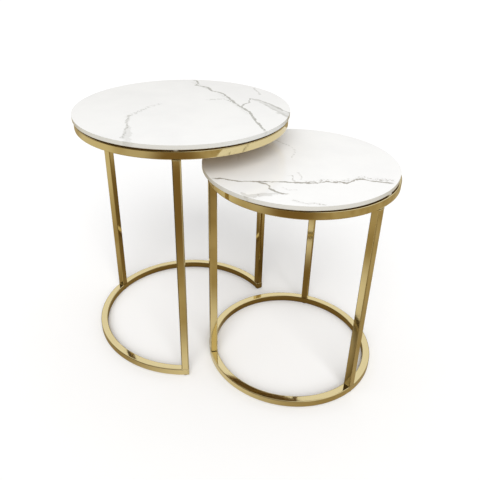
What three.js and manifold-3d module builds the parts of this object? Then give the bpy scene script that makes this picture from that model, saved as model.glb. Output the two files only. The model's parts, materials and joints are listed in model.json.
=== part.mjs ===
// Two nesting side tables: round stone tops on welded frames of polished square tube.
// Millimetres, +Z up, floor at Z = 0. +X points from the large table to the small one,
// and the origin is on the floor at the middle of the pair.

import * as THREE from "three";
import { mergeVertices } from "three/addons/utils/BufferGeometryUtils.js";
import Module from "manifold-3d";

const wasm = await Module();
wasm.setup();

// ---- Driving dimensions ----

const TUBE = 16; // outside width of the square tube, both ways
const WALL = 1.2; // its wall
const TUBE_CORNER = 2; // outside corner radius
const SEAM = 0.3; // clearance where two pieces meet
const DRAIN_RADIUS = 2.5; // holes that join the bore of a leg to the hoops
const CAP = 1.5; // plate that closes an end of the open hoop

const STONE = 9; // thickness of both tops
const ARRIS = 0.8; // small bevel round a top

const PAD_SPACE = 3.5; // gap that the pads hold between a ring and its top
const PAD_RADIUS = 6;
const PADS = 6;
const GLIDE_SPACE = 1.5; // height of a hoop above the floor
const GLIDE_RADIUS = 7;

const RING_FACETS = 72;
const TOP_FACETS = 96;
const SMALL_ROUND_FACETS = 16;

const LARGE = {
  name: "large",
  topRadius: 225,
  topShift: [0, 0],
  frameRadius: 222.5, // outside of the ring and the hoop
  legLength: 499,
  legs: { rear: 180, nest_front: -60, nest_back: 60 }, // degrees round the table from +X
  firstPad: -60,
  openHoop: true,
};

const SMALL = {
  name: "small",
  topRadius: 191,
  topShift: [-6, -4], // the loose top sits off centre on its pads
  frameRadius: 188,
  legLength: 429,
  legs: { left: 219, back: 99, right: 339 },
  firstPad: 348,
  openHoop: false,
};

const SPACING = [273, 9]; // from the middle of the large table to the middle of the small one

const pairLength = LARGE.topRadius + SPACING[0] + SMALL.frameRadius;
LARGE.centre = [LARGE.topRadius - pairLength / 2, 0];
SMALL.centre = [LARGE.centre[0] + SPACING[0], SPACING[1]];

// ---- Materials ----

const gold = new THREE.MeshStandardMaterial({ color: 0xb9975a, roughness: 0.12, metalness: 1 });
const marble = new THREE.MeshStandardMaterial({ color: 0xf3f3f1, roughness: 0.2, metalness: 0 });
const silicone = new THREE.MeshStandardMaterial({ color: 0xc9c5b8, roughness: 0.5, metalness: 0 });
const nylon = new THREE.MeshStandardMaterial({ color: 0x2a2624, roughness: 0.6, metalness: 0 });

// ---- Solids ----

const rad = THREE.MathUtils.degToRad;

function solid(geometry) {
  const bare = geometry.index ? geometry.toNonIndexed() : geometry.clone();
  bare.deleteAttribute("normal");
  bare.deleteAttribute("uv");
  const merged = mergeVertices(bare, 1e-4);
  return new wasm.Manifold(
    new wasm.Mesh({
      numProp: 3,
      vertProperties: new Float32Array(merged.attributes.position.array),
      triVerts: new Uint32Array(merged.index.array),
    }),
  );
}

function toMesh(name, body, material) {
  const { vertProperties, triVerts } = body.getMesh();
  const geometry = new THREE.BufferGeometry();
  geometry.setAttribute("position", new THREE.BufferAttribute(vertProperties, 3));
  geometry.setIndex(new THREE.BufferAttribute(triVerts, 1));
  geometry.computeVertexNormals();
  const mesh = new THREE.Mesh(geometry, material);
  mesh.name = name;
  return mesh;
}

// A disc standing on Z = 0, with a bevel of the given size round both rims.
function disc(radius, height, bevel, facets) {
  const outline = [
    [0, 0],
    [radius - bevel, 0],
    [radius, bevel],
    [radius, height - bevel],
    [radius - bevel, height],
    [0, height],
  ];
  const points = outline.map(([r, z]) => new THREE.Vector2(r, z));
  return solid(new THREE.LatheGeometry(points, facets).rotateX(Math.PI / 2));
}

// A square with cut corners, as a list of points round its middle.
function squareOutline(width, corner) {
  const half = width / 2;
  const flat = half - corner;
  const points = [];
  for (const [sx, sy] of [[1, 1], [-1, 1], [-1, -1], [1, -1]]) {
    const onSide = [sx * half, sy * flat];
    const onTop = [sx * flat, sy * half];
    const cut = sx * sy > 0 ? [onSide, onTop] : [onTop, onSide];
    points.push(...(corner > 0 ? cut : [onSide]));
  }
  return points;
}

// Distance from the sharp corner to where the cut of a round corner starts.
const CORNER_CUT = TUBE_CORNER * (2 - Math.SQRT2);

// A solid hoop of square bar, standing on Z = 0.
function bar(radius, width, height, corner, facets) {
  const outline = squareOutline(width, corner);
  const points = outline.map(([r, z]) => new THREE.Vector2(radius + r, height + z));
  points.push(points[0].clone());
  return solid(new THREE.LatheGeometry(points, facets).rotateX(Math.PI / 2));
}

// A pie slice that takes in a hoop between two angles, taller than the tube.
function slice(radius, from, to) {
  const shape = new THREE.Shape();
  shape.moveTo(0, 0);
  const reach = 2 * radius;
  shape.lineTo(reach * Math.cos(from), reach * Math.sin(from));
  shape.lineTo(reach * Math.cos(to), reach * Math.sin(to));
  shape.closePath();
  const block = new THREE.ExtrudeGeometry(shape, { depth: 3 * TUBE, bevelEnabled: false });
  return solid(block.translate(0, 0, -TUBE));
}

function drain(radius, degrees, z) {
  const hole = new THREE.CylinderGeometry(DRAIN_RADIUS, DRAIN_RADIUS, 2 * WALL, SMALL_ROUND_FACETS);
  hole.rotateX(Math.PI / 2);
  hole.translate(radius * Math.cos(rad(degrees)), radius * Math.sin(rad(degrees)), z);
  return solid(hole);
}

// A hollow tube hoop on Z = 0, drained through its top or its underside at every leg.
function hoop(table, drainZ) {
  const middle = table.frameRadius - TUBE / 2;
  const outside = bar(middle, TUBE, TUBE / 2, CORNER_CUT, RING_FACETS);
  const bore = bar(middle, TUBE - 2 * WALL, TUBE / 2, 0, RING_FACETS);
  let body = outside.subtract(bore);
  for (const degrees of Object.values(table.legs)) {
    body = body.subtract(drain(middle, degrees, drainZ));
  }
  return body;
}

function hoopEndAngle(table) {
  const middle = table.frameRadius - TUBE / 2;
  return rad(table.legs.nest_back) - Math.asin(TUBE / 2 / middle);
}

// The open hoop: a full hoop without the slice between its two end legs.
function openHoop(table, drainZ) {
  const middle = table.frameRadius - TUBE / 2;
  const end = hoopEndAngle(table) + (CAP + SEAM) / middle;
  return hoop(table, drainZ).subtract(slice(table.frameRadius, -end, end));
}

function leg(length) {
  const outline = squareOutline(TUBE, CORNER_CUT).map(([x, y]) => new THREE.Vector2(x, y));
  const bore = squareOutline(TUBE - 2 * WALL, 0).map(([x, y]) => new THREE.Vector2(x, y));
  const shape = new THREE.Shape(outline);
  shape.holes.push(new THREE.Path(bore));
  return solid(new THREE.ExtrudeGeometry(shape, { depth: length, bevelEnabled: false }));
}

function cap() {
  const outline = squareOutline(TUBE, CORNER_CUT).map(([x, y]) => new THREE.Vector2(x, y));
  const shape = new THREE.Shape(outline);
  const plate = new THREE.ExtrudeGeometry(shape, { depth: CAP, bevelEnabled: false });
  return solid(plate.rotateX(Math.PI / 2));
}

// ---- Assembly ----

function place(mesh, radius, degrees, z) {
  mesh.position.set(radius * Math.cos(rad(degrees)), radius * Math.sin(rad(degrees)), z);
  mesh.rotation.z = rad(degrees);
  return mesh;
}

function endCaps(table) {
  const middle = table.frameRadius - TUBE / 2;
  const end = THREE.MathUtils.radToDeg(hoopEndAngle(table));
  const back = place(toMesh(`${table.name}_hoop_cap_back`, cap(), gold), middle, end, TUBE / 2);
  back.rotation.z += Math.PI;
  const front = place(toMesh(`${table.name}_hoop_cap_front`, cap(), gold), middle, -end, TUBE / 2);
  return [back, front];
}

function buildTable(table) {
  const middle = table.frameRadius - TUBE / 2;
  const hoopZ = GLIDE_SPACE;
  const legZ = hoopZ + TUBE;
  const ringZ = legZ + table.legLength;
  const padZ = ringZ + TUBE;
  const topZ = padZ + PAD_SPACE;

  const group = new THREE.Group();
  group.position.set(...table.centre, 0);

  const top = toMesh(`${table.name}_top`, disc(table.topRadius, STONE, ARRIS, TOP_FACETS), marble);
  top.position.set(...table.topShift, topZ);
  group.add(top);

  const ring = toMesh(`${table.name}_top_ring`, hoop(table, WALL / 2), gold);
  ring.position.z = ringZ;
  group.add(ring);

  const makeBase = table.openHoop ? openHoop : hoop;
  const base = new THREE.Group();
  base.position.z = hoopZ;
  base.add(toMesh(`${table.name}_base_hoop`, makeBase(table, TUBE - WALL / 2), gold));
  if (table.openHoop) {
    base.add(...endCaps(table));
  }
  group.add(base);

  for (const [side, degrees] of Object.entries(table.legs)) {
    const tube = toMesh(`${table.name}_leg_${side}`, leg(table.legLength - 2 * SEAM), gold);
    group.add(place(tube, middle, degrees, legZ + SEAM));
    const foot = disc(GLIDE_RADIUS, GLIDE_SPACE - SEAM, 0, SMALL_ROUND_FACETS);
    const glide = toMesh(`${table.name}_glide_${side}`, foot, nylon);
    group.add(place(glide, middle, degrees, 0));
  }

  for (let i = 0; i < PADS; i += 1) {
    const bumper = disc(PAD_RADIUS, PAD_SPACE - 2 * SEAM, 0, SMALL_ROUND_FACETS);
    const pad = toMesh(`${table.name}_top_pad_${i + 1}`, bumper, silicone);
    group.add(place(pad, middle, table.firstPad + (i * 360) / PADS, padZ + SEAM));
  }
  return group;
}

const tables = new THREE.Group();
tables.add(buildTable(LARGE), buildTable(SMALL));

export default tables;
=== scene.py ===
"""Two nesting side tables: round marble tops on polished gold frames of square tube.

Everything is in metres, in the frame of the CAD model, with the floor at Z = 0.
"""

import json
import math

import bmesh
import bpy
from mathutils import Matrix, Vector

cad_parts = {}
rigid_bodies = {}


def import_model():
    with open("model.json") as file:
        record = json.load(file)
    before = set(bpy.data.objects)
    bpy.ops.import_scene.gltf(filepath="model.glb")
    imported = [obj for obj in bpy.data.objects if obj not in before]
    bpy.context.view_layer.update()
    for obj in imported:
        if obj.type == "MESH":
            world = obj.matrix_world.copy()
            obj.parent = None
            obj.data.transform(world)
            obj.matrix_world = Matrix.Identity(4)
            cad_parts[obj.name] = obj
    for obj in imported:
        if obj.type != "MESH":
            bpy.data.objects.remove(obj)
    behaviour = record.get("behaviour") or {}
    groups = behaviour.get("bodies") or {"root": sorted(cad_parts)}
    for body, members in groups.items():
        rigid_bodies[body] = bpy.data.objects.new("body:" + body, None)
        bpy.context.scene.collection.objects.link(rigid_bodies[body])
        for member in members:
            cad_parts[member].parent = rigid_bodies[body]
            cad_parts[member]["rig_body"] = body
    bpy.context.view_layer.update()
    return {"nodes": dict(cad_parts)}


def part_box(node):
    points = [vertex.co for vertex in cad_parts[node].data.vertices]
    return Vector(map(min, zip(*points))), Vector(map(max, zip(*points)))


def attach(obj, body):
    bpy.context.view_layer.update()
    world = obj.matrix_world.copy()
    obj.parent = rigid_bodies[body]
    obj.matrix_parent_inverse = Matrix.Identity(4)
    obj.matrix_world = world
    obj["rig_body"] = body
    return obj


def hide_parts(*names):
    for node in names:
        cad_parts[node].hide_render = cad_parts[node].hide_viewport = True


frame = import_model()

MM = 0.001

# ---- Sizes that the frame doesn't give ----

TUBE_CORNER = 2.0 * MM  # outside corner radius of the square tube
CORNER_STEPS = 6  # facets across a rounded corner
HOOP_STEPS = 240  # facets round a whole ring or hoop
CAP_THICKNESS = 1.5 * MM
CAP_ROUNDING = 0.5 * MM
WELD_REACH = 1.9 * MM  # how far a leg runs into the tube that it is welded to
WELD_BEAD = 2.2 * MM  # height of the polished weld bead at each end of a leg
WELD_STEPS = 6  # facets up the bead
WELD_SWELL = 0.35 * MM  # how far the bead stands proud of the leg

STONE_FACETS = 320
STONE_TOP_ARRIS = 0.4 * MM  # sharp, lightly eased upper rim
STONE_LOW_CHAMFER = 1.4 * MM  # wider chamfer round the underside

# where the small hoop is rolled out of true: place and reach round it, and most turn
HOOP_TWIST = (math.radians(267), math.radians(47), math.radians(3.3))

PAD_ROUNDING = 0.5 * MM
GLIDE_ROUNDING = 0.4 * MM
DISC_FACETS = 48
RIM_STEPS = 3  # facets across the bevelled edge of a plate or disc
PADS = 6  # under each stone top

MERGE_REACH = 0.001 * MM  # points closer than this are one

# ---- Colours of the stone ----

LARGE_VEIN_COLOUR = (0.36, 0.36, 0.32, 1)
SMALL_VEIN_COLOUR = (0.28, 0.26, 0.21, 1)
SIDE_PAINTED_SHADE = (0.74, 0.755, 0.76, 1)  # painted shade multiplied onto the side of a slab, next to its polished top
UNDERSIDE_PAINTED_SHADE = (0.40, 0.30, 0.18, 1)  # painted shade: dark brown colour of the stone's underside, standing for the shade under it


def node_box(node):
    """Lowest corner, highest corner and middle of a CAD node."""
    low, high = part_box(node)
    return low, high, (low + high) / 2


# ---- Node helpers ----


def add_node(tree, kind, inputs=None, **settings):
    """A new node with its settings. Each input takes a plain value or another node's output."""
    node = tree.nodes.new(kind)
    for key, value in settings.items():
        setattr(node, key, value)
    for key, value in (inputs or {}).items():
        if isinstance(value, bpy.types.NodeSocket):
            tree.links.new(value, node.inputs[key])
        else:
            node.inputs[key].default_value = value
    return node


def maths(tree, operation, first, second=0.0, third=0.0):
    inputs = {0: first, 1: second, 2: third}
    return add_node(tree, "ShaderNodeMath", inputs, operation=operation).outputs[0]


def smooth_step(tree, value, low, high, start=0.0, end=1.0):
    """value taken smoothly from start to end as it goes from low to high."""
    inputs = {"Value": value, "From Min": low, "From Max": high, "To Min": start, "To Max": end}
    node = add_node(tree, "ShaderNodeMapRange", inputs, interpolation_type="SMOOTHSTEP")
    return node.outputs[0]


def noise(tree, place, size, detail=2.0, roughness=0.5):
    """Noise with lumps of about the given size in metres."""
    inputs = {"Vector": place, "Scale": 1 / size, "Detail": detail, "Roughness": roughness}
    return add_node(tree, "ShaderNodeTexNoise", inputs)


def shaken(tree, place, size, reach):
    """place pushed sideways by lumps of the given size, by up to about half of reach."""
    lumps = noise(tree, place, size, 3.0).outputs["Color"]
    push = add_node(tree, "ShaderNodeVectorMath", {0: lumps, 1: (0.5, 0.5, 0.5)}, operation="SUBTRACT")
    inputs = {0: push.outputs[0], 1: (reach, reach, 0), 2: place}
    return add_node(tree, "ShaderNodeVectorMath", inputs, operation="MULTIPLY_ADD").outputs[0]


def mix_colour(tree, share, first, second):
    inputs = {"Factor": share, 6: first, 7: second}
    return add_node(tree, "ShaderNodeMix", inputs, data_type="RGBA").outputs[2]


def new_group(name, inputs, outputs):
    """An empty shader group with float, vector or colour sockets."""
    kinds = {"float": "NodeSocketFloat", "vector": "NodeSocketVector", "colour": "NodeSocketColor"}
    group = bpy.data.node_groups.new(name, "ShaderNodeTree")
    for socket, kind in inputs.items():
        group.interface.new_socket(socket, in_out="INPUT", socket_type=kinds[kind])
    for socket, kind in outputs.items():
        group.interface.new_socket(socket, in_out="OUTPUT", socket_type=kinds[kind])
    return group, group.nodes.new("NodeGroupInput").outputs, group.nodes.new("NodeGroupOutput").inputs


def use_group(tree, group, inputs):
    return add_node(tree, "ShaderNodeGroup", inputs, node_tree=group).outputs


def new_material(name):
    """A material with only its Principled shader and output; gives its node tree and shader."""
    material = bpy.data.materials.new(name)
    material.use_nodes = True
    tree = material.node_tree
    return material, tree, tree.nodes["Principled BSDF"]


def object_place(tree):
    return add_node(tree, "ShaderNodeTexCoord").outputs["Object"]


# ---- Shared effects ----


def make_handling_group():
    """Finger smudges and fine polishing lines, as a share from 0 to 1 and as a height."""
    group, given, out = new_group(
        "Handling marks", {"Place": "vector"}, {"Smudge": "float", "Height": "float"}
    )
    broad = noise(group, given["Place"], 45 * MM, 3.0).outputs[0]
    fine = noise(group, given["Place"], 6 * MM, 4.0).outputs[0]
    patch = smooth_step(group, broad, 0.48, 0.72)
    print_lines = smooth_step(group, fine, 0.4, 0.65)
    smudge = maths(group, "MULTIPLY", patch, print_lines)
    group.links.new(smudge, out["Smudge"])
    lines = noise(group, given["Place"], 1.2 * MM, 2.0).outputs[0]
    group.links.new(lines, out["Height"])
    return group


def make_vein_group():
    """A vein's share of the stone, from the distance to its line and the place along it."""
    inputs = {
        "Place": "vector",
        "Across": "float",
        "Along": "float",
        "Width": "float",
        "Taper": "float",
        "Softness": "float",
        "Strength": "float",
        "Breaks": "float",
    }
    group, given, out = new_group("Stone vein", inputs, {"Share": "float"})
    swell = noise(group, given["Place"], 16 * MM, 3.0).outputs[0]
    grown = maths(group, "MULTIPLY", given["Width"], smooth_step(group, swell, 0.32, 0.68, 0.3, 1.7))
    short = maths(group, "SUBTRACT", 1.0, given["Along"])
    thin = maths(group, "MULTIPLY", short, given["Taper"])
    width = maths(group, "MULTIPLY", grown, maths(group, "SUBTRACT", 1.0, thin))
    edge = maths(group, "ADD", width, given["Softness"])
    away = maths(group, "ABSOLUTE", given["Across"])
    line = smooth_step(group, away, width, edge, 1.0, 0.0)
    gaps = noise(group, given["Place"], 5 * MM, 3.0, 0.6).outputs[0]
    torn = smooth_step(group, gaps, 0.48, 0.6)
    kept = maths(group, "SUBTRACT", 1.0, given["Breaks"])
    unbroken = maths(group, "MULTIPLY_ADD", torn, given["Breaks"], kept)
    starts = smooth_step(group, given["Along"], 0.0, 0.04)
    ends = smooth_step(group, given["Along"], 0.96, 1.0, 1.0, 0.0)
    inside = maths(group, "MULTIPLY", starts, ends)
    share = maths(group, "MULTIPLY", line, unbroken)
    share = maths(group, "MULTIPLY", share, inside)
    share = maths(group, "MULTIPLY", share, given["Strength"])
    group.links.new(share, out["Share"])
    return group


HANDLING = make_handling_group()
VEIN = make_vein_group()


# ---- Materials ----


def polished_gold():
    """Mirror-polished gold plating over tube that isn't perfectly flat."""
    material, tree, shader = new_material("polished_gold")
    place = object_place(tree)
    marks = use_group(tree, HANDLING, {"Place": place})
    tint = noise(tree, place, 60 * MM, 3.0).outputs[0]
    colour = mix_colour(tree, tint, (0.69, 0.575, 0.305, 1), (0.73, 0.62, 0.345, 1))
    tree.links.new(colour, shader.inputs["Base Color"])
    tree.links.new(smooth_step(tree, marks["Smudge"], 0, 1, 0.07, 0.16), shader.inputs["Roughness"])
    shader.inputs["Metallic"].default_value = 1.0
    waves = noise(tree, place, 26 * MM, 2.0).outputs[0]
    ripple = add_node(tree, "ShaderNodeBump", {"Height": waves, "Distance": 0.06 * MM, "Strength": 1.0})
    inputs = {"Height": marks["Height"], "Distance": 0.0006 * MM, "Normal": ripple.outputs[0]}
    lines = add_node(tree, "ShaderNodeBump", inputs)
    tree.links.new(lines.outputs[0], shader.inputs["Normal"])
    return material


def stone_vein(tree, place, route, width, softness, strength, breaks=0.0, taper=0.0):
    """One vein through (x, y) points in millimetres from the middle of the stone."""
    start, end = Vector(route[0]) * MM, Vector(route[-1]) * MM
    chord = end - start
    length = chord.length
    turn = math.atan2(chord.y, chord.x)
    inputs = {
        "Vector": place,
        "Location": (*start, 0),
        "Rotation": (0, 0, turn),
        "Scale": (length, length, 1),
    }
    local = add_node(tree, "ShaderNodeMapping", inputs, vector_type="TEXTURE").outputs[0]
    axes = add_node(tree, "ShaderNodeSeparateXYZ", {"Vector": local}).outputs
    bend = add_node(tree, "ShaderNodeFloatCurve", {"Value": axes["X"]})
    curve = bend.mapping.curves[0]
    unturn = Matrix.Rotation(-turn, 2)
    for point in route[1:-1]:
        along, across = unturn @ (Vector(point) * MM - start) / length
        curve.points.new(along, 0.5 + across)
    curve.points[0].location = (0, 0.5)
    curve.points[-1].location = (1, 0.5)
    for point in curve.points:
        point.handle_type = "VECTOR"
    bend.mapping.update()
    off = maths(tree, "SUBTRACT", axes["Y"], maths(tree, "SUBTRACT", bend.outputs[0], 0.5))
    inputs = {
        "Place": place,
        "Across": maths(tree, "MULTIPLY", off, length),
        "Along": axes["X"],
        "Width": width * MM,
        "Taper": taper,
        "Softness": softness * MM,
        "Strength": strength,
        "Breaks": breaks,
    }
    return use_group(tree, VEIN, inputs)["Share"]


LARGE_VEINS = [
    # the long diagonal vein, from the rear edge to the front right edge
    {
        "route": [(-108, 198), (-87, 199), (-68, 176), (-66, 160), (-32, 157), (-4, 136), (20, 133),
                  (51, 108), (82, 80), (106, 61), (134, 42), (158, 14), (182, -15), (222, -58)],
        "width": 1.2, "softness": 2.2, "strength": 0.95, "breaks": 0.2,
    },
    # dust beside it
    {
        "route": [(-95, 190), (-60, 166), (-20, 146), (20, 128), (60, 98), (100, 62), (150, 22)],
        "width": 1.0, "softness": 9.0, "strength": 0.4, "breaks": 0.95,
    },
    # dots that lead up to it
    {
        "route": [(18, 66), (33, 81), (47, 92), (72, 82)],
        "width": 1.4, "softness": 4.0, "strength": 0.6, "breaks": 0.95,
    },
    # its fork, which opens into a wedge at the right edge
    {
        "route": [(110, 58), (104, 81), (109, 97), (96, 128)],
        "width": 1.1, "softness": 2.0, "strength": 0.85, "breaks": 0.15,
    },
    {
        "route": [(92, 127), (118, 123), (146, 112), (176, 95), (226, 62)],
        "width": 0.9, "softness": 3.0, "strength": 0.65, "breaks": 0.1,
    },
    {
        "route": [(94, 126), (124, 115), (156, 98), (184, 81), (228, 48)],
        "width": 11.0, "softness": 3.0, "strength": 0.3, "taper": 1.0,
    },
    {
        "route": [(140, 102), (166, 84), (192, 67), (230, 36)],
        "width": 0.8, "softness": 4.0, "strength": 0.4, "breaks": 0.4,
    },
    # the vein at the left, which ends in a patch on the front edge
    {
        "route": [(-50, 0), (-61, -38), (-57, -64), (-57, -80), (-55, -108), (-55, -118)],
        "width": 1.2, "softness": 6.0, "strength": 0.6, "breaks": 1.0,
    },
    {
        "route": [(-62, -98), (-41, -132), (-26, -150), (-10, -178), (4, -200), (10, -216)],
        "width": 0.9, "softness": 3.0, "strength": 0.75, "breaks": 0.6,
    },
    {
        "route": [(-24, -150), (-12, -167), (2, -185), (16, -204), (40, -236)],
        "width": 7.0, "softness": 3.0, "strength": 0.28, "breaks": 0.3, "taper": 0.6,
    },
    # a short vein near the rear right edge
    {
        "route": [(64, 208), (79, 190), (93, 176), (104, 162)],
        "width": 0.9, "softness": 2.6, "strength": 0.6, "breaks": 0.5,
    },
]

SMALL_VEINS = [
    # the long vein across the front
    {
        "route": [(-112, -154), (-95, -147), (-74, -143), (-60, -141), (-47, -135), (-30, -124),
                  (-9, -114), (6, -105), (23, -98), (42, -92), (65, -81), (78, -64), (93, -61),
                  (100, -52), (112, -53), (119, -38), (121, -29), (134, -20), (147, -23), (160, -19),
                  (190, -12)],
        "width": 1.0, "softness": 2.0, "strength": 0.95, "breaks": 0.1,
    },
    # the crumbled cloud that follows its right half
    {
        "route": [(44, -88), (64, -76), (68, -67), (80, -60), (100, -54), (118, -34), (130, -10),
                  (150, -12), (186, 2)],
        "width": 2.0, "softness": 8.0, "strength": 0.6, "breaks": 0.95,
    },
    # its fork
    {
        "route": [(-33, -125), (-21, -127), (-13, -128), (-3, -132), (-1, -141), (7, -145),
                  (15, -148), (27, -148), (39, -143)],
        "width": 1.3, "softness": 2.2, "strength": 0.85, "breaks": 0.1,
    },
    # the pale wedge below the fork
    {
        "route": [(40, -143), (23, -151), (8, -163), (-6, -178)],
        "width": 7.0, "softness": 2.5, "strength": 0.28, "taper": 1.0,
    },
    {
        "route": [(-40, -180), (-24, -186), (-4, -178)],
        "width": 7.0, "softness": 2.5, "strength": 0.28, "taper": 1.0,
    },
    # faint wisps
    {
        "route": [(52, -162), (66, -164), (76, -166), (87, -158), (110, -152)],
        "width": 1.0, "softness": 3.0, "strength": 0.45, "breaks": 0.7,
    },
    {
        "route": [(-95, 88), (-76, 79), (-57, 72), (-30, 52), (-26, 30), (-20, 4)],
        "width": 0.8, "softness": 3.0, "strength": 0.45, "breaks": 0.9,
    },
    {
        "route": [(2, -78), (11, -69), (18, -76), (20, -84), (30, -94)],
        "width": 0.8, "softness": 2.2, "strength": 0.55, "breaks": 0.5,
    },
    {
        "route": [(16, -50), (20, -55), (32, -67), (35, -82)],
        "width": 0.6, "softness": 2.0, "strength": 0.45, "breaks": 0.6,
    },
    {
        "route": [(14, -127), (31, -129), (46, -123)],
        "width": 0.6, "softness": 3.0, "strength": 0.3, "breaks": 0.8,
    },
    {
        "route": [(-150, 40), (-128, 10), (-120, -30), (-104, -60)],
        "width": 0.5, "softness": 4.0, "strength": 0.25, "breaks": 0.7,
    },
]


def marble(name, node, veins, vein_colour):
    """White marble with grey veins through the slab, its side darkened and its underside coloured dark
    brown as painted shade.
    """
    low, high, middle = node_box(node)
    radius = (high.x - low.x) / 2
    material, tree, shader = new_material(name)
    place = object_place(tree)
    inputs = {"Vector": place, "Location": (middle.x, middle.y, 0)}
    flat = add_node(tree, "ShaderNodeMapping", inputs, vector_type="TEXTURE").outputs[0]
    bent = shaken(tree, shaken(tree, flat, 24 * MM, 9 * MM), 6 * MM, 5 * MM)
    clear = 1.0
    for vein in veins:
        share = stone_vein(tree, bent, **vein)
        left = maths(tree, "SUBTRACT", 1.0, share)
        clear = maths(tree, "MULTIPLY", clear, left)
    cloud = noise(tree, flat, 120 * MM, 4.0, 0.55).outputs[0]
    white = mix_colour(
        tree, smooth_step(tree, cloud, 0.35, 0.7), (0.93, 0.93, 0.92, 1), (0.89, 0.89, 0.885, 1)
    )
    stone = mix_colour(tree, clear, vein_colour, white)
    # Painted shade: the slab's side, the outermost fraction of a millimetre of its radius, is darkened
    # by multiplying with the side colour.
    level = add_node(tree, "ShaderNodeVectorMath", {0: flat, 1: (1, 1, 0)}, operation="MULTIPLY")
    reach = add_node(tree, "ShaderNodeVectorMath", {0: level.outputs[0]}, operation="LENGTH")
    side = smooth_step(tree, reach.outputs["Value"], radius - 0.4 * MM, radius - 0.2 * MM)
    tint = mix_colour(tree, side, (1, 1, 1, 1), SIDE_PAINTED_SHADE)
    inputs = {"Factor": 1.0, 6: stone, 7: tint}
    stone = add_node(tree, "ShaderNodeMix", inputs, data_type="RGBA", blend_type="MULTIPLY").outputs[2]
    # Painted shade: the slab's underside, up to 0.3 mm above its lowest point, takes the dark brown
    # underside colour in place of the stone.
    height = add_node(tree, "ShaderNodeSeparateXYZ", {"Vector": place}).outputs["Z"]
    upper = smooth_step(tree, height, low.z + 0.1 * MM, low.z + 0.3 * MM)
    tree.links.new(mix_colour(tree, upper, UNDERSIDE_PAINTED_SHADE, stone), shader.inputs["Base Color"])
    marks = use_group(tree, HANDLING, {"Place": flat})
    polish = smooth_step(tree, marks["Smudge"], 0, 1, 0.12, 0.2)
    rough = maths(tree, "MULTIPLY_ADD", maths(tree, "SUBTRACT", 1.0, upper), 0.5, polish)
    tree.links.new(rough, shader.inputs["Roughness"])
    return material


def clear_silicone():
    """Soft clear bumper."""
    material, tree, shader = new_material("clear_silicone")
    cloud = noise(tree, object_place(tree), 3 * MM, 3.0).outputs[0]
    colour = mix_colour(tree, cloud, (0.82, 0.81, 0.76, 1), (0.92, 0.91, 0.88, 1))
    tree.links.new(colour, shader.inputs["Base Color"])
    tree.links.new(smooth_step(tree, cloud, 0.3, 0.7, 0.3, 0.45), shader.inputs["Roughness"])
    shader.inputs["Transmission Weight"].default_value = 0.4
    shader.inputs["IOR"].default_value = 1.41
    return material


def dark_nylon():
    """Moulded floor glide with a fine grain."""
    material, tree, shader = new_material("dark_nylon")
    grain = noise(tree, object_place(tree), 0.6 * MM, 3.0).outputs[0]
    colour = mix_colour(tree, grain, (0.016, 0.014, 0.012, 1), (0.03, 0.027, 0.024, 1))
    tree.links.new(colour, shader.inputs["Base Color"])
    tree.links.new(smooth_step(tree, grain, 0.3, 0.7, 0.5, 0.7), shader.inputs["Roughness"])
    bump = add_node(tree, "ShaderNodeBump", {"Height": grain, "Distance": 0.02 * MM})
    tree.links.new(bump.outputs[0], shader.inputs["Normal"])
    return material


# ---- Shapes ----


def rounded_square(mesh, width):
    """A square face with round corners on the XY plane, in the middle of the tube."""
    grid = bmesh.ops.create_grid(mesh, x_segments=1, y_segments=1, size=width / 2)
    bmesh.ops.bevel(
        mesh,
        geom=grid["verts"],
        offset=TUBE_CORNER,
        segments=CORNER_STEPS,
        profile=0.5,
        affect="VERTICES",
        material=-1,
    )


def bevel_edges(mesh, edges, offset):
    bmesh.ops.bevel(
        mesh,
        geom=edges,
        offset=offset,
        segments=RIM_STEPS,
        profile=0.5,
        affect="EDGES",
        material=-1,
    )


def bent_tube(middle, radius, width, start, sweep):
    """A square tube round the Z axis through middle; sweep is 2 pi for a closed ring."""
    mesh = bmesh.new()
    rounded_square(mesh, width)
    closed = sweep >= 2 * math.pi
    if closed:
        bmesh.ops.delete(mesh, geom=mesh.faces[:], context="FACES_ONLY")
    stand = Matrix.Rotation(math.pi / 2, 3, "X")
    bmesh.ops.rotate(mesh, verts=mesh.verts, cent=(0, 0, 0), matrix=stand)
    bmesh.ops.translate(mesh, verts=mesh.verts, vec=(radius, 0, 0))
    bmesh.ops.rotate(mesh, verts=mesh.verts, cent=(0, 0, 0), matrix=Matrix.Rotation(start, 3, "Z"))
    bmesh.ops.translate(mesh, verts=mesh.verts, vec=middle)
    bmesh.ops.spin(
        mesh,
        geom=mesh.verts[:] + mesh.edges[:] + mesh.faces[:],
        cent=middle,
        axis=(0, 0, 1),
        angle=sweep,
        steps=round(HOOP_STEPS * sweep / (2 * math.pi)),
        use_merge=closed,
    )
    return mesh


def twist_tube(mesh, middle, radius, width, centre, spread, most):
    """Turns the section of a rolled tube about its own axis, round the place at centre."""
    half = width / 2
    for vert in mesh.verts:
        away = vert.co - middle
        out = math.hypot(away.x, away.y)
        off = math.atan2(away.y, away.x) - centre
        off = abs(math.remainder(off, 2 * math.pi)) / spread
        if off >= 1:
            continue
        turn = most * math.cos(off * math.pi / 2) ** 2
        inside = half / (half * math.cos(turn) + (half - TUBE_CORNER) * math.sin(turn))
        across, up = out - radius, away.z
        new_across = inside * (across * math.cos(turn) + up * math.sin(turn))
        new_up = inside * (up * math.cos(turn) - across * math.sin(turn))
        share = (radius + new_across) / out
        vert.co = middle + Vector((away.x * share, away.y * share, new_up))


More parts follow.
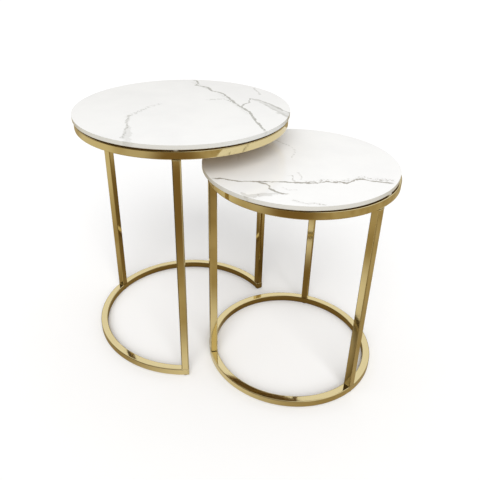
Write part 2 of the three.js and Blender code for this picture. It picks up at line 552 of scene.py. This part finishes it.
def straight_leg(middle, turn, width, low, high):
    """A square tube standing at middle, with a polished weld bead near each end."""
    mesh = bmesh.new()
    rounded_square(mesh, width)
    bmesh.ops.rotate(mesh, verts=mesh.verts, cent=(0, 0, 0), matrix=Matrix.Rotation(turn, 3, "Z"))
    bmesh.ops.translate(mesh, verts=mesh.verts, vec=(middle.x, middle.y, low - WELD_REACH))
    heights = [(low, 0.0)]
    for end, way in ((low, 1), (high, -1)):
        bead = []
        for step in range(1, WELD_STEPS + 1):
            share = step / WELD_STEPS
            bead.append((end + way * share * WELD_BEAD, math.sin(math.pi * share)))
        heights += bead[::way]
    heights += [(high, 0.0), (high + WELD_REACH, 0.0)]
    top = mesh.faces[:]
    reached = low - WELD_REACH
    swelled = 1.0
    for height, swell in heights:
        made = bmesh.ops.extrude_face_region(mesh, geom=top)["geom"]
        rim = [item for item in made if isinstance(item, bmesh.types.BMVert)]
        top = [item for item in made if isinstance(item, bmesh.types.BMFace)]
        bmesh.ops.translate(mesh, verts=rim, vec=(0, 0, height - reached))
        wanted = 1 + swell * WELD_SWELL / (width / 2)
        grow = wanted / swelled
        about = Matrix.Translation((-middle.x, -middle.y, 0))
        bmesh.ops.scale(mesh, verts=rim, vec=(grow, grow, 1), space=about)
        reached, swelled = height, wanted
    return mesh


def end_plate(middle, turn, width, thickness):
    """The plate welded over an end of the open hoop; its outside faces along turn."""
    mesh = bmesh.new()
    rounded_square(mesh, width)
    made = bmesh.ops.extrude_face_region(mesh, geom=mesh.faces[:])["geom"]
    rim = [item for item in made if isinstance(item, bmesh.types.BMVert)]
    bmesh.ops.translate(mesh, verts=rim, vec=(0, 0, thickness))
    outer = [edge for edge in mesh.edges if all(vert.co.z > thickness / 2 for vert in edge.verts)]
    bevel_edges(mesh, outer, CAP_ROUNDING)
    stand = Matrix.Rotation(turn, 3, "Z") @ Matrix.Rotation(math.pi / 2, 3, "Y")
    bmesh.ops.rotate(mesh, verts=mesh.verts, cent=(0, 0, 0), matrix=stand)
    bmesh.ops.translate(mesh, verts=mesh.verts, vec=middle)
    return mesh


def round_slab(middle, radius, low, high, low_bevel, high_bevel, facets):
    """A disc from low to high, with its two rims bevelled."""
    mesh = bmesh.new()
    bmesh.ops.create_circle(mesh, cap_ends=True, segments=facets, radius=radius)
    made = bmesh.ops.extrude_face_region(mesh, geom=mesh.faces[:])["geom"]
    rim = [item for item in made if isinstance(item, bmesh.types.BMVert)]
    bmesh.ops.translate(mesh, verts=rim, vec=(0, 0, high - low))
    for level, bevel in ((0, low_bevel), (high - low, high_bevel)):
        edges = [edge for edge in mesh.edges
                 if all(abs(vert.co.z - level) < 0.01 * MM for vert in edge.verts)]
        bevel_edges(mesh, edges, bevel)
    bmesh.ops.translate(mesh, verts=mesh.verts, vec=(middle.x, middle.y, low))
    return mesh


def add_piece(name, mesh, material, node):
    """Makes the finished piece, which rides where the CAD node rides and stands for it."""
    bmesh.ops.remove_doubles(mesh, verts=mesh.verts, dist=MERGE_REACH)
    bmesh.ops.recalc_face_normals(mesh, faces=mesh.faces)
    data = bpy.data.meshes.new(name)
    mesh.to_mesh(data)
    mesh.free()
    data.shade_smooth()
    data.materials.append(material)
    piece = bpy.data.objects.new(name, data)
    bpy.context.scene.collection.objects.link(piece)
    flats = piece.modifiers.new("flat faces stay flat", "WEIGHTED_NORMAL")
    flats.mode = "FACE_AREA"
    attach(piece, frame["nodes"][node]["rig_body"])
    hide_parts(node)


# ---- Both tables ----


def angle_round(where, middle):
    away = where - middle
    return math.atan2(away.y, away.x)


def add_stone_top(table, finish):
    low, high, middle = node_box(f"{table}_top")
    radius = (high.x - low.x) / 2
    slab = round_slab(middle, radius, low.z, high.z, STONE_LOW_CHAMFER, STONE_TOP_ARRIS, STONE_FACETS)
    add_piece(f"{table}_stone", slab, finish, f"{table}_top")


def add_base(table, centre, radius, width, gold):
    """The hoop on the floor: open and closed with two plates, or a full round."""
    node = f"{table}_base_hoop"
    hoop_middle = Vector((centre.x, centre.y, node_box(node)[2].z))
    caps = {}
    if table == "large":
        caps = {side: node_box(f"large_hoop_cap_{side}")[2] for side in ("front", "back")}
        start = angle_round(caps["back"], hoop_middle)
        hoop = bent_tube(hoop_middle, radius, width, start, 2 * math.pi - 2 * start)
    else:
        hoop = bent_tube(hoop_middle, radius, width, 0, 2 * math.pi)
        twist_tube(hoop, hoop_middle, radius, width, *HOOP_TWIST)
    add_piece(f"{table}_hoop_tube", hoop, gold, node)
    for side, where in caps.items():
        angle = angle_round(where, hoop_middle)
        facing = angle - math.copysign(math.pi / 2, angle)
        end = hoop_middle + Matrix.Rotation(angle, 3, "Z") @ Vector((radius, 0, 0))
        plate = end_plate(end, facing, width, CAP_THICKNESS / 2)
        add_piece(f"large_cap_{side}", plate, gold, f"large_hoop_cap_{side}")


def add_leg(table, leg, centre, width, gold, nylon):
    """A leg from the hoop to the ring, and the glide under the hoop at its foot."""
    hoop_low, hoop_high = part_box(f"{table}_base_hoop")
    ring_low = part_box(f"{table}_top_ring")[0]
    where = node_box(f"{table}_leg_{leg}")[2]
    tube = straight_leg(where, angle_round(where, centre), width, hoop_high.z, ring_low.z)
    add_piece(f"{table}_leg_{leg}_tube", tube, gold, f"{table}_leg_{leg}")
    low, high, where = node_box(f"{table}_glide_{leg}")
    glide_radius = (high.x - low.x) / 2
    disc = round_slab(
        where, glide_radius, low.z, hoop_low.z, GLIDE_ROUNDING, GLIDE_ROUNDING, DISC_FACETS
    )
    add_piece(f"{table}_glide_{leg}_disc", disc, nylon, f"{table}_glide_{leg}")


def add_pads(table, silicone):
    """The bumpers that fill the gap between the ring and the stone."""
    pad_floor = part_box(f"{table}_top_ring")[1].z
    pad_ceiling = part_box(f"{table}_top")[0].z
    for number in range(1, PADS + 1):
        low, high, where = node_box(f"{table}_top_pad_{number}")
        pad = round_slab(
            where, (high.x - low.x) / 2, pad_floor, pad_ceiling, PAD_ROUNDING, PAD_ROUNDING, DISC_FACETS
        )
        add_piece(f"{table}_pad_{number}_bumper", pad, silicone, f"{table}_top_pad_{number}")


def build_table(table, legs, finish, gold, silicone, nylon):
    add_stone_top(table, finish)
    low, high, centre = node_box(f"{table}_top_ring")
    width = high.z - low.z
    radius = (high.x - low.x) / 2 - width / 2
    ring = bent_tube(centre, radius, width, 0, 2 * math.pi)
    add_piece(f"{table}_ring_tube", ring, gold, f"{table}_top_ring")
    add_base(table, centre, radius, width, gold)
    for leg in legs:
        add_leg(table, leg, centre, width, gold, nylon)
    add_pads(table, silicone)


gold = polished_gold()
silicone = clear_silicone()
nylon = dark_nylon()
large_marble = marble("large_marble", "large_top", LARGE_VEINS, LARGE_VEIN_COLOUR)
small_marble = marble("small_marble", "small_top", SMALL_VEINS, SMALL_VEIN_COLOUR)
build_table("large", ("rear", "nest_front", "nest_back"), large_marble, gold, silicone, nylon)
build_table("small", ("left", "back", "right"), small_marble, gold, silicone, nylon)


# ---- Floor, light and camera ----


FLOOR_SIZE = 20  # half its width
PALE_FLOOR = (0.97, 0.97, 0.97, 1)
DARK_BOARD = (0.37, 0.29, 0.15, 1)
LIGHT_BOARD = (0.47, 0.39, 0.24, 1)
BOARD_LUMPS = 0.2

# (x, y) in metres, full and faded radius, and colour, on the warm floor that the camera
# doesn't see. They are placed for the reflections in the gold.
FLOOR_PATCHES = [
    ((-1.4, -0.6), 0.5, 1.0, (0.66, 0.60, 0.44, 1)),
    ((-0.3, -1.4), 0.3, 0.8, (0.54, 0.48, 0.35, 1)),
    ((0.45, -1.2), 0.25, 0.85, (0.20, 0.13, 0.05, 1)),
    ((-0.05, 0.25), 0.25, 0.55, (0.22, 0.15, 0.06, 1)),
    ((0.04, -0.17), 0.05, 0.24, (0.85, 0.81, 0.70, 1)),
]


def warm_floor_colour(tree, place):
    """Tan boards, with lighter and darker patches round the tables."""
    boards = noise(tree, place, BOARD_LUMPS, 4.0).outputs[0]
    share = smooth_step(tree, boards, 0.35, 0.65)
    colour = mix_colour(tree, share, DARK_BOARD, LIGHT_BOARD)
    for (x, y), full, faded, patch in FLOOR_PATCHES:
        inputs = {0: place, 1: (x, y, 0)}
        away = add_node(tree, "ShaderNodeVectorMath", inputs, operation="DISTANCE").outputs["Value"]
        colour = mix_colour(tree, smooth_step(tree, away, full, faded, 1.0, 0.0), colour, patch)
    return colour


def pale_floor():
    """A plain pale floor to the camera, and a warm patchy one to every other ray.

    The gold mirrors the warm one, and the light that the floor throws back comes from it.
    """
    mesh = bmesh.new()
    bmesh.ops.create_grid(mesh, x_segments=1, y_segments=1, size=FLOOR_SIZE)
    data = bpy.data.meshes.new("floor")
    mesh.to_mesh(data)
    mesh.free()
    floor = bpy.data.objects.new("floor", data)
    bpy.context.scene.collection.objects.link(floor)
    material = bpy.data.materials.new("floor")
    material.use_nodes = True
    tree = material.node_tree
    tree.nodes.clear()
    tan = warm_floor_colour(tree, object_place(tree))
    pale = add_node(tree, "ShaderNodeBsdfDiffuse", {"Color": PALE_FLOOR})
    warm = add_node(tree, "ShaderNodeBsdfDiffuse", {"Color": tan})
    path = add_node(tree, "ShaderNodeLightPath")
    inputs = {0: path.outputs["Is Camera Ray"], 1: warm.outputs[0], 2: pale.outputs[0]}
    blend = add_node(tree, "ShaderNodeMixShader", inputs)
    add_node(tree, "ShaderNodeOutputMaterial", {"Surface": blend.outputs[0]})
    data.materials.append(material)


WALL_FOOT = (0.36, 0.33, 0.28, 1)  # colour of the room near the floor
DIM_SIDE = (0.08, 0.06, 0.035, 1)  # colour of its dim side, behind the camera
WHITE = (1.0, 1.0, 1.0, 1)
DIM_DIRECTION = (-0.26, -0.97, 0)
LAMP_DIRECTION = (0.42, -0.80, 0.66)
LAMP_SPREAD = math.radians(50)
LAMP_ENERGY = 2.45
ROOM_LIGHT = 0.7  # strength of the room as a light, next to 1 as it is seen or mirrored


def soft_light():
    """A room with a bright ceiling, and one big soft lamp from the camera's side.

    The camera sees the room as plain white. Only mirrored rays get its dim side, and they
    don't show the lamp.
    """
    world = bpy.data.worlds.new("pale room")
    world.use_nodes = True
    tree = world.node_tree
    way = add_node(tree, "ShaderNodeTexCoord").outputs["Generated"]
    height = add_node(tree, "ShaderNodeSeparateXYZ", {"Vector": way}).outputs["Z"]
    wall = smooth_step(tree, height, 0.1, 0.6)
    room = mix_colour(tree, wall, WALL_FOOT, WHITE)
    inputs = {0: way, 1: DIM_DIRECTION}
    toward = add_node(tree, "ShaderNodeVectorMath", inputs, operation="DOT_PRODUCT").outputs["Value"]
    camera_side = smooth_step(tree, toward, 0.35, 0.6)
    below_ceiling = smooth_step(tree, height, 0.75, 0.95, 1.0, 0.0)
    path = add_node(tree, "ShaderNodeLightPath").outputs
    mirrored = path["Is Glossy Ray"]
    dim = maths(tree, "MULTIPLY", maths(tree, "MULTIPLY", camera_side, below_ceiling), mirrored)
    room = mix_colour(tree, dim, room, DIM_SIDE)
    room = mix_colour(tree, path["Is Camera Ray"], room, WHITE)
    tree.links.new(room, tree.nodes["Background"].inputs["Color"])
    seen = maths(tree, "MAXIMUM", mirrored, path["Is Camera Ray"])
    strength = maths(tree, "MULTIPLY_ADD", seen, 1 - ROOM_LIGHT, ROOM_LIGHT)
    tree.links.new(strength, tree.nodes["Background"].inputs["Strength"])
    bpy.context.scene.world = world

    lamp = bpy.data.lights.new("soft lamp", "SUN")
    lamp.energy = LAMP_ENERGY
    lamp.angle = LAMP_SPREAD
    softbox = bpy.data.objects.new("soft lamp", lamp)
    softbox.rotation_euler = Vector(LAMP_DIRECTION).to_track_quat("Z", "Y").to_euler()
    softbox.visible_glossy = False
    bpy.context.scene.collection.objects.link(softbox)


CAMERA_PLACE = (0.4808, -0.9011, 0.8710)
CAMERA_RIGHT = Vector((0.8771, 0.4803, 0.0070))
CAMERA_UP = Vector((-0.2413, 0.4279, 0.8711))
CAMERA_SENSOR = 36  # mm
CAMERA_LENS = 39.39  # mm
CAMERA_SHIFT = (0.0263, -0.0329)


def make_camera():
    lens = bpy.data.cameras.new("camera")
    lens.sensor_width = CAMERA_SENSOR
    lens.lens = CAMERA_LENS
    lens.shift_x, lens.shift_y = CAMERA_SHIFT
    camera = bpy.data.objects.new("camera", lens)
    camera.location = CAMERA_PLACE
    back = CAMERA_RIGHT.cross(CAMERA_UP)
    camera.rotation_euler = Matrix((CAMERA_RIGHT, CAMERA_UP, back)).transposed().to_euler()
    bpy.context.scene.collection.objects.link(camera)
    bpy.context.scene.camera = camera


pale_floor()
soft_light()
make_camera()
bpy.context.scene.view_settings.view_transform = "Standard"
